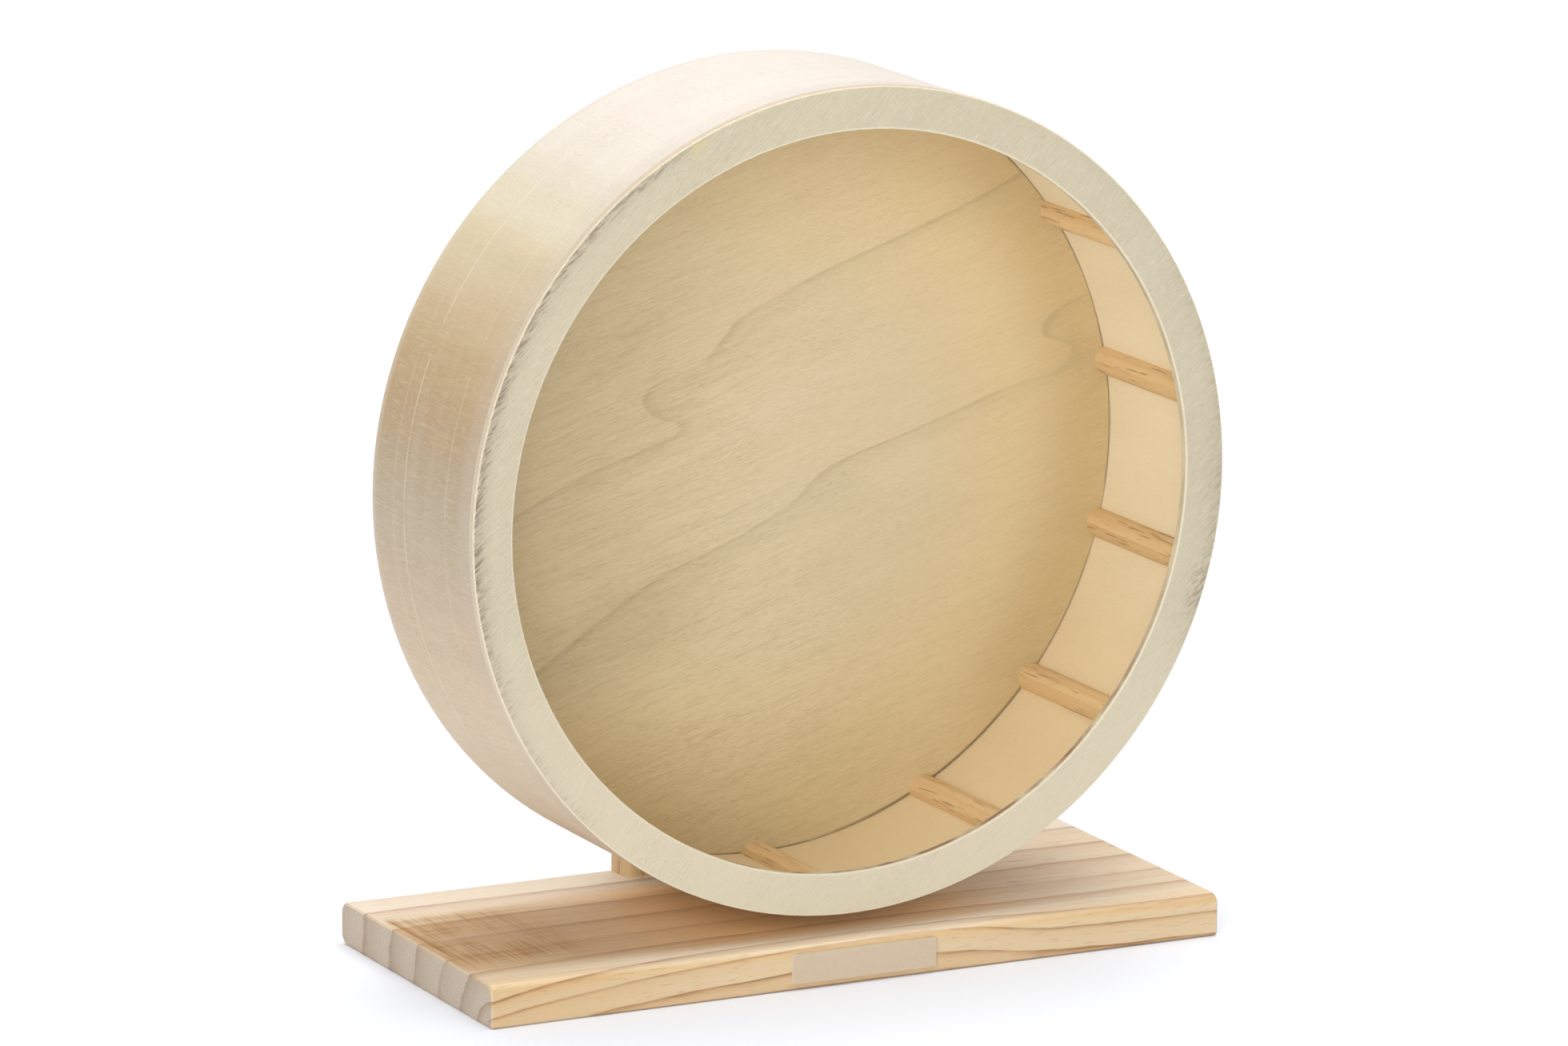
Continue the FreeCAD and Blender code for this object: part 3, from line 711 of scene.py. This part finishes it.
disc_veneer, tree, shader, here = new_finish("poplar plywood, disc")
along, depth, height = split(tree, here)
polar = axle_polar(tree, here)
radius, side, up = polar
with_grain = mapped(tree, here, turn=(0, DISC_GRAIN_TURN, 0))
grain = use_effect(tree, veneer, Place=with_grain)
topness = ramp(tree, reckon(tree, "DIVIDE", up, radius), 0.3, 0.9)
shaded = between(tree, reckon(tree, "MULTIPLY_ADD", along, -0.36, height), 0.116, 0.140, 0.016)
colour = layers(
    tree, tint(tree, seen(206, 190, 157), seen(198, 177, 139), grain["Cloud"]),
    ((177, 167, 131), 0.24, flecks(tree, with_grain, (10, 26, 26), 2.0, 0.45, 0.70)),
    # The outer part is more golden. Its top and right are painted darker as painted shade near the band,
    # low on the left it is painted palest as painted light lifting the ring's shadow, and the bottom of the
    # rim is painted darker as painted shade
    ((208, 185, 139), 0.75, ramp(tree, radius, 0.045, 0.105)),
    ((186, 155, 102), 0.30, topness, ramp(tree, radius, 0.095, 0.138)),
    ((180, 154, 104), 0.55, ramp(tree, side, 0.06, 0.11), ramp(tree, radius, 0.100, 0.132)),
    ((238, 208, 150), 0.60, towards(tree, polar, 222, 24, 22), ramp(tree, radius, 0.100, 0.130)),
    ((172, 150, 100), 0.26, towards(tree, polar, 268, 22, 20), ramp(tree, radius, 0.080, 0.120)),
    # The left half is painted duller as painted shade, most of all in one slanting patch
    ((180, 160, 112), 0.30, ramp(tree, side, 0.01, -0.05), ramp(tree, radius, 0.090, 0.065)),
    ((160, 140, 94), 0.34, shaded, between(tree, along, -0.075, -0.030, 0.025)),
)
on_front = ramp(tree, depth, DISC_FRONT + 3 * MM, DISC_FRONT + 2 * MM)
high_share = reckon(tree, "DIVIDE", reckon(tree, "SUBTRACT", height, DISC_LOWEST), DISC_RISE)
jagged = grain_noise(tree, with_grain, (60, 900, 900), 2.0, 0.6)
line_breaks = flecks(tree, here, (34, 10, 34), 2.0, 0.30, 0.62, 0.25, 1.0)
for line in (LONG_LINE, FOLDED_LINE):
    points = []
    for line_height, line_across in line:
        up_share = (line_height * MM - DISC_LOWEST) / DISC_RISE
        points.append((up_share, (line_across * MM - DISC_LEFT) / DISC_ACROSS))
    line_share = drawn_curve(tree, high_share, points)
    line_place = reckon(tree, "MULTIPLY_ADD", line_share, DISC_ACROSS, DISC_LEFT)
    past = swayed(tree, reckon(tree, "SUBTRACT", along, line_place), jagged, 2.4 * MM)
    begin = ramp(tree, past, -1.2 * MM, 0.8 * MM)
    colour = layers(
        tree, colour,
        ((160, 148, 108), 0.17, begin, ramp(tree, past, 2 * MM, 32 * MM, 1.0, 0.0), on_front),
        ((130, 112, 74), 0.25, begin, ramp(tree, past, 0.5 * MM, 6 * MM, 1.0, 0.0), line_breaks, on_front),
    )
rear_growth = reckon(tree, "MULTIPLY", grain_noise(tree, with_grain, (2.2, 9, 9), 1.0), 9.0)
rear_season = reckon(tree, "FRACT", rear_growth)
rear_line = product(tree, ramp(tree, rear_season, 0.3, 0.94), ramp(tree, rear_season, 0.95, 1.0, 1.0, 0.0))
leftness = reckon(tree, "DIVIDE", reckon(tree, "MULTIPLY_ADD", up, 0.30, side), radius)
worn = ramp(tree, leftness, 0.8, -0.4, 0.45, 1.0)
# Painted shadow in the gap between the disc and the band
gap_shadow_patches = flecks(tree, here, (30, 30, 30), 2.0, 0.38, 0.62)
painted_wide_gap_shadow = ramp(tree, radius, DISC_EDGE - 0.5 * MM, DISC_EDGE + 0.2 * MM)
colour = layers(
    tree, colour,
    # The rear sheet has its own soft growth lines
    ((163, 140, 101), 0.30, rear_line, ramp(tree, depth, DISC_REAR - 2 * MM, DISC_REAR - 1 * MM)),
    ((141, 112, 69), 0.26, grain["Stroke"], worn),
    ((218, 205, 171), 0.18, grain["Glint"], worn),
    ((138, 116, 74), 0.15, grain["Dark Fibre"], worn),
    ((222, 209, 174), 0.13, grain["Light Fibre"], worn),
    ((134, 108, 70), 0.14, grain["Pore"]),
    # The sawn rim is painted dark in broken patches as painted shadow in the gap to the band, and darkest
    # low on the right, where a wider gap is painted as deep shadow
    ((116, 88, 52), 0.5, ramp(tree, radius, DISC_EDGE, DISC_EDGE + 0.6 * MM), gap_shadow_patches),
    ((74, 48, 24), 0.60, towards(tree, polar, -58, 14, 12), painted_wide_gap_shadow),
)
surface(tree, shader, colour, grain["Stroke"], 0.12, 0.50, grain["Height"], VENEER_RELIEF)
dress(disc_veneer, "back_disc")

# Rungs: fourteen half-round sticks of pine moulding, glued across the inside of the band as footholds.
# They are darker than the plywood, with short brown checks along the grain.
RUNG_RINGS_PER_METRE = 240.0
rung_pine, tree, shader, here = new_finish("pine moulding")
across, _, height = split(tree, here)
lengthwise = mapped(tree, here, turn=(0, 0, math.radians(-90)))
slanted = reckon(tree, "MULTIPLY_ADD", height, 0.6, across)
ring_count = reckon(tree, "MULTIPLY", slanted, RUNG_RINGS_PER_METRE)
grain = use_effect(tree, pine, Place=lengthwise, Growth=ring_count)
checks = flecks(tree, lengthwise, (60, 1000, 1000), 1.0, 0.63, 0.70)
colour = layers(
    tree, tint(tree, seen(227, 196, 148), seen(210, 172, 119), grain["Fibre"], 0.7),
    ((187, 146, 95), 0.25, grain["Summer"]),
    ((166, 123, 72), 0.18, grain["Ring"]),
    ((127, 87, 48), 0.22, grain["Fleck"]),
    ((104, 67, 35), 0.42, checks),
)
checked = reckon(tree, "SUBTRACT", grain["Height"], checks)
surface(tree, shader, colour, grain["Fibre"], 0.15, 0.46, checked, 0.10 * MM)
dress(rung_pine, *(name for name in nodes if name.startswith("rung_")))

# Front ring: a plywood hoop glued over the front edge of the band, all its edges sanded round. Its veneer is
# paler and greener than the disc's, and the saw tore up the fibres along parts of the outer edge.
RING_INSIDE = 130.4 * MM
RING_OUTSIDE = 145.4 * MM
RING_FRONT = -52.5 * MM
RING_GRAIN_TURN = math.radians(40)
# Middle, reach and soft end of each torn stretch, in degrees, and how bold it is
TORN_STRETCHES = ((158, 36, 14, 1.0), (-13, 10, 6, 0.5), (14, 14, 8, 0.3), (48, 16, 8, 0.12),
                  (-150, 14, 8, 0.3))

ring_veneer, tree, shader, here = new_finish("poplar plywood, ring")
depth = split(tree, here)[1]
polar = axle_polar(tree, here)
radius, side, up = polar
with_grain = mapped(tree, here, turn=(0, RING_GRAIN_TURN, 0))
grain = use_effect(tree, veneer, Place=with_grain)
crisp = ramp(tree, up, -0.12, 0.03, 0.30, 1.0)
speckle = grain_noise(tree, with_grain, (280, 1100, 1100), 3.0, 0.7)
colour = layers(
    tree, tint(tree, seen(190, 180, 155), seen(182, 170, 144), grain["Cloud"]),
    # The lower half is painted paler as painted light
    ((209, 196, 169), 0.66, ramp(tree, up, 0.0, -0.13)),
    ((162, 147, 116), 0.20, grain["Stroke"], crisp),
    ((211, 203, 179), 0.20, grain["Glint"], crisp),
    ((150, 136, 104), 0.05, grain["Dark Fibre"], crisp),
    ((216, 208, 186), 0.06, grain["Light Fibre"], crisp),
    ((156, 144, 116), 0.34, ramp(tree, speckle, 0.58, 0.72), crisp),
    ((222, 216, 196), 0.30, ramp(tree, speckle, 0.42, 0.28), crisp),
    ((144, 125, 94), 0.20, grain["Pore"]),
)
torn_strokes = flecks(tree, with_grain, (200, 1800, 1800), 2.0, 0.43, 0.60, roughness=0.6)
ragged = reckon(tree, "MULTIPLY_ADD", grain_noise(tree, with_grain, (150, 900, 900), 2.0), 6 * MM, radius)
torn_edge = ramp(tree, ragged, RING_OUTSIDE - 6.0 * MM, RING_OUTSIDE + 3.0 * MM)
torn_fringe = ramp(tree, ragged, RING_OUTSIDE - 1.0 * MM, RING_OUTSIDE + 2.4 * MM)
# Each torn stretch is greyer, with dark strokes at the very edge: the torn fibres, partly painted as the
# shade between them
for middle, reach, soft, boldness in TORN_STRETCHES:
    stretch = towards(tree, polar, middle, reach, soft)
    colour = layers(
        tree, colour,
        ((160, 145, 125), 0.46 * boldness, stretch, torn_edge),
        ((98, 80, 60), 0.72 * boldness, stretch, torn_fringe, torn_strokes),
    )
mottle = flecks(tree, with_grain, (260, 900, 900), 4.0, 0.42, 0.66, roughness=0.7)
rubbed = product(tree, towards(tree, polar, -10, 16, 6), ramp(tree, ragged, 136 * MM, 146 * MM))
blotch = product(tree, towards(tree, polar, -17.4, 2.2, 2.0), ramp(tree, ragged, 140 * MM, 146 * MM))
outer_wall = ramp(tree, radius, RING_OUTSIDE - 0.5 * MM, RING_OUTSIDE - 0.1 * MM)
outer_arris = between(tree, radius, RING_OUTSIDE - 0.6 * MM, RING_OUTSIDE - 0.1 * MM, 0.1 * MM)
inner_arris = ramp(tree, radius, RING_INSIDE + 0.9 * MM, RING_INSIDE + 0.4 * MM)
sap = product(tree, towards(tree, polar, 115.4, 1.0, 0.8), torn_strokes)
layer_breaks = flecks(tree, here, (60, 60, 60), 3.0, 0.36, 0.60)
inner_wall = ramp(tree, radius, RING_INSIDE + 3 * MM, RING_INSIDE + 2 * MM)
core_layer = product(tree, between(tree, depth, -51.8 * MM, -49.7 * MM, 0.2 * MM), layer_breaks, inner_wall)
colour = layers(
    tree, colour,
    # On the right the outer half is rubbed grey in mottled patches, darkest at one spot
    ((156, 140, 119), 0.48, rubbed, mottle),
    ((125, 103, 82), 0.50, blotch, mottle),
    ((202, 184, 158), 0.85, outer_wall),
    # The sanded arrises are paler, partly fresh wood and partly a painted highlight where the rounding
    # catches the light
    ((220, 209, 183), 0.6, reckon(tree, "MAXIMUM", outer_arris, inner_arris)),
    # A dab of dried sap by the outer edge, and the darker middle layer on the sawn inner wall, darkened
    # towards the bottom as painted shade at the back of the wall
    ((209, 192, 98), 0.65, sap, between(tree, radius, 140.5 * MM, 144 * MM, 1.2 * MM)),
    ((126, 86, 56), 0.85, core_layer, ramp(tree, up, -0.02, -0.11, 0.30, 1.0)),
)
surface(tree, shader, colour, grain["Stroke"], 0.12, 0.54, grain["Height"], 0.07 * MM)
dress(ring_veneer, "front_ring")

# Torn fibres: splinters of the ring's own veneer that the saw lifted along its outer edge on the left.
# They all lie with the grain, with their roots still in the face.
FIBRE_SIZES = {
    "Count": 520,
    "First Turn": math.radians(118),
    "Sweep": math.radians(96),
    "Edge Radius": RING_OUTSIDE - 0.7 * MM,
    "Reach": 4.5 * MM,
    "Shortest": 0.8 * MM,
    "Longest": 2.8 * MM,
    "Thinnest": 0.04 * MM,
    "Thickest": 0.09 * MM,
    "Grain Turn": RING_GRAIN_TURN,
    "Grain Spread": math.radians(11),
    "Lift": math.radians(13),
    "Place": (0.0, RING_FRONT + 0.05 * MM, AXLE_HEIGHT),
    "Seed": 7,
}
fibre, size = new_shape("torn fibre", FIBRE_SIZES)


def chance(low, high, step):
    """A random number for each splinter, the same on every run."""
    node = fibre.nodes.new("FunctionNodeRandomValue")
    node.data_type = "FLOAT"
    feed(fibre, node.inputs[2], low)
    feed(fibre, node.inputs[3], high)
    feed(fibre, node.inputs["Seed"], reckon(fibre, "ADD", size["Seed"], step))
    return node.outputs[1]


both_chances = reckon(fibre, "ADD", chance(0.0, 0.5, 1.0), chance(0.0, 0.5, 2.0))
turn = reckon(fibre, "MULTIPLY_ADD", both_chances, size["Sweep"], size["First Turn"])
inward = product(fibre, chance(0.0, 1.0, 3.0), chance(0.0, 1.0, 4.0), size["Reach"])
out = reckon(fibre, "SUBTRACT", size["Edge Radius"], inward)
lift = product(fibre, chance(0.2, 1.0, 5.0), size["Lift"])
lean = reckon(fibre, "SUBTRACT", math.pi / 2, lift)
spread = product(fibre, chance(-1.0, 1.0, 6.0), size["Grain Spread"])
aim = reckon(fibre, "ADD", size["Grain Turn"], spread)
width = chance(size["Thinnest"], size["Thickest"], 7.0)
splinters = form(fibre, "InstanceOnPoints", {
    "Points": spots_round(fibre, size["Count"], turn, out),
    "Instance": cone(fibre, 3, 1.0, 0.1, 1.0),
    "Rotation": rotation(fibre, joined(fibre, y=lean, z=aim)),
    "Scale": joined(fibre, width, width, chance(size["Shortest"], size["Longest"], 8.0)),
})
splinters = form(fibre, "StoreNamedAttribute", {
    "Geometry": splinters,
    "Name": "shade",
    "Value": chance(0.0, 1.0, 9.0),
}, domain="INSTANCE")
fibre_wood, tree, shader, here = new_finish("torn poplar")
shade = tree.nodes.new("ShaderNodeAttribute")
shade.attribute_name = "shade"
speckle = grain_noise(tree, here, (900, 900, 900), 2.0)
# Each splinter gets a random tone; the darker ones stand in partly as painted shade for the tiny shadows of
# such fine splinters
colour = tint(tree, seen(206, 194, 167), seen(136, 116, 89), shade.outputs["Fac"])
colour = tint(tree, colour, seen(118, 97, 73), speckle, 0.3)
surface(tree, shader, colour, speckle, 0.1, 0.6)
finish_shape(fibre, laid(fibre, splinters, size["Place"], (math.radians(90), 0, 0)), fibre_wood)
torn_fibres = make_piece("torn_fibres", fibre, FIBRE_SIZES)
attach(torn_fibres, "wheel")

# Hub block: a turned beech puck on the back of the disc, with the bolt's head trapped behind it. Beech is
# pinkish, with short darker rays. Four countersunk screws go through it into the disc.
HUB_SCREW_SIZES = {
    "Head Radius": 3.5 * MM,
    "Shank Radius": 1.75 * MM,
    "Length": 16.7 * MM,
    "Pitch": 1.5 * MM,
    "Count": 4,
    "Spread": 23 * MM,
    "First Turn": math.radians(45),
    "Place": (0, 41.2 * MM, AXLE_HEIGHT),
    "Turn": (math.radians(90), 0, 0),
}
hub_beech, tree, shader, here = new_finish("turned beech")
cloud = grain_noise(tree, here, (20, 160, 160), 3.0)
rays = flecks(tree, here, (330, 1500, 1500), 1.0, 0.62, 0.72)
colour = tint(tree, seen(226, 188, 148), seen(208, 166, 124), cloud)
colour = tint(tree, colour, seen(168, 120, 82), rays, 0.5)
surface(tree, shader, colour, cloud, 0.2, 0.40, rays, 0.05 * MM)
dress(hub_beech, "hub_block")
disc_screws = make_piece("disc_screws", screw, HUB_SCREW_SIZES)
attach(disc_screws, "wheel")
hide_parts("hub_screws")

# Axle: a hexagon bolt of zinc plated steel, threaded at its rear end, with sleeves, a washer and a lock nut.
# It turns with the wheel inside both bearings, and the nut draws the inner races together.
BOLT_SIZES = {
    "Head Across": 13 * MM,
    "Head Height": 5.3 * MM,
    "Radius": 4 * MM,
    "Length": 44.8 * MM,
    "Thread Length": 22 * MM,
    "Pitch": 1.25 * MM,
    "Tip": 0.8 * MM,
    "Place": (0, DISC_REAR, AXLE_HEIGHT),
    "Turn": (math.radians(-90), 0, 0),
}
BOLT_THREAD_SHARE = 0.46
hexagon, size = new_shape("hexagon bolt", BOLT_SIZES)
corner_radius = reckon(hexagon, "DIVIDE", size["Head Across"], math.sqrt(3))
block = column(hexagon, corner_radius, 0.0, size["Head Height"], 6)
flat_radius = reckon(hexagon, "MULTIPLY", size["Head Across"], 0.5)
wide_radius = reckon(hexagon, "MULTIPLY_ADD", size["Head Height"], math.sqrt(3), flat_radius)
corner_cutter = cone(hexagon, 48, flat_radius, wide_radius, size["Head Height"])
thread_start = reckon(hexagon, "SUBTRACT", size["Length"], size["Thread Length"])
thread_depth = reckon(hexagon, "MULTIPLY", size["Pitch"], BOLT_THREAD_SHARE)
tip_start = reckon(hexagon, "SUBTRACT", size["Length"], size["Tip"])
core_radius = reckon(hexagon, "SUBTRACT", size["Radius"], thread_depth)
point_radius = reckon(hexagon, "SUBTRACT", size["Radius"], size["Tip"])
bolt = form(hexagon, "JoinGeometry", {"Geometry": [
    form(hexagon, "MeshBoolean", {"Mesh 2": [block, corner_cutter]}, operation="INTERSECT"),
    column(hexagon, size["Radius"], size["Head Height"], thread_start, 40),
    column(hexagon, core_radius, thread_start, tip_start, 32),
    moved(hexagon, cone(hexagon, 32, core_radius, point_radius, size["Tip"]), tip_start),
    thread(hexagon, size["Radius"], thread_depth, size["Pitch"], thread_start, tip_start),
]})
finish_shape(hexagon, laid(hexagon, bolt, size["Place"], size["Turn"]), zinc_steel)
threaded_bolt = make_piece("threaded_bolt", hexagon, BOLT_SIZES)
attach(threaded_bolt, "wheel")
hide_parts("axle_bolt")
dress(zinc_steel, "hub_spacer", "race_spacer", "end_washer", "lock_nut")

# Floor and light: a plain white sweep under soft studio light, with two panels overhead and one to the left
# of the camera. The floor lies a hair below the base, so the two faces stay apart. It glows far away, and the
# surroundings look brighter to the camera than the light they give, so both stay white.
FLOOR_HALF = 40.0
FLOOR_LEVEL = -0.2 * MM
GLOW_START = 0.5
GLOW_FULL = 1.4
NO_GLOW = (0, 0, 0, 1)
NEAR_GLOW = (0.42, 0.38, 0.32, 1)
FAR_GLOW = (0.66, 0.62, 0.56, 1)
SURROUND_LIGHT = 0.52
SURROUND_MORE_SEEN = 0.6
floor_mesh = bpy.data.meshes.new("floor")
floor_corners = []
for corner_x, corner_y in ((-1, -1), (1, -1), (1, 1), (-1, 1)):
    floor_corners.append((corner_x * FLOOR_HALF, corner_y * FLOOR_HALF, FLOOR_LEVEL))
floor_mesh.from_pydata(floor_corners, [], [(0, 1, 2, 3)])
floor = bpy.data.objects.new("floor", floor_mesh)
bpy.context.scene.collection.objects.link(floor)
paper, tree, shader, here = new_finish("white paper")
shader.inputs["Base Color"].default_value = seen(245, 248, 255)
shader.inputs["Roughness"].default_value = 0.9
out_from_middle = length(tree, here)
glow = tint(tree, NO_GLOW, NEAR_GLOW, ramp(tree, out_from_middle, GLOW_START, GLOW_FULL))
glow = tint(tree, glow, FAR_GLOW, ramp(tree, out_from_middle, GLOW_FULL, 2 * GLOW_FULL))
tree.links.new(glow, shader.inputs["Emission Color"])
shader.inputs["Emission Strength"].default_value = 1.0
floor_mesh.materials.append(paper)

world = bpy.data.worlds.new("studio")
world.use_nodes = True
tree = world.node_tree
backdrop = tree.nodes["Background"]
backdrop.inputs["Color"].default_value = (0.95, 0.98, 1, 1)
to_camera = tree.nodes.new("ShaderNodeLightPath").outputs["Is Camera Ray"]
strength = reckon(tree, "MULTIPLY_ADD", to_camera, SURROUND_MORE_SEEN, SURROUND_LIGHT)
tree.links.new(strength, backdrop.inputs["Strength"])
bpy.context.scene.world = world
bpy.context.scene.view_settings.view_transform = "Standard"


def light_panel(name, place, aim, size, power):
    """A soft square light at a place, turned towards a point."""
    lamp = bpy.data.lights.new(name, "AREA")
    lamp.shape = "SQUARE"
    lamp.size = size
    lamp.energy = power
    panel = bpy.data.objects.new(name, lamp)
    panel.location = place
    panel.rotation_euler = (Vector(aim) - Vector(place)).to_track_quat("-Z", "Y").to_euler()
    bpy.context.scene.collection.objects.link(panel)


MIDDLE = (0, 0, 0.15)
light_panel("overhead", (0.15, -0.2, 2.2), MIDDLE, 1.6, 21)
light_panel("top rear", (0.3, 0.8, 2.1), MIDDLE, 1.6, 17)
light_panel("left front", (-1.9, -2.5, 1.0), MIDDLE, 1.8, 62)

# Camera: at the photograph's angle, with a long lens about three metres away.
PHOTO_WIDTH = 1960
FOCAL_PIXELS = 11077.84
CAMERA_YAW = -0.47811
CAMERA_PITCH = 0.22292
CAMERA_ROLL = 0.0107
CAMERA_DISTANCE = 3.09066
CAMERA_TARGET = Vector((-0.533 * MM, 0, 150.19 * MM))
level = math.cos(CAMERA_PITCH)
away = Vector((math.sin(CAMERA_YAW) * level, -math.cos(CAMERA_YAW) * level, math.sin(CAMERA_PITCH)))
right = Vector((math.cos(CAMERA_YAW), math.sin(CAMERA_YAW), 0))
over = away.cross(right)
rolled_right = math.cos(CAMERA_ROLL) * right + math.sin(CAMERA_ROLL) * over
rolled_over = math.cos(CAMERA_ROLL) * over - math.sin(CAMERA_ROLL) * right
lens = bpy.data.cameras.new("camera")
lens.sensor_width = 36
lens.lens = FOCAL_PIXELS / PHOTO_WIDTH * lens.sensor_width
lens.clip_end = 100
camera = bpy.data.objects.new("camera", lens)
turned = Matrix((rolled_right, rolled_over, away)).transposed().to_4x4()
camera.matrix_world = Matrix.Translation(CAMERA_TARGET + away * CAMERA_DISTANCE) @ turned
bpy.context.scene.collection.objects.link(camera)
bpy.context.scene.camera = camera
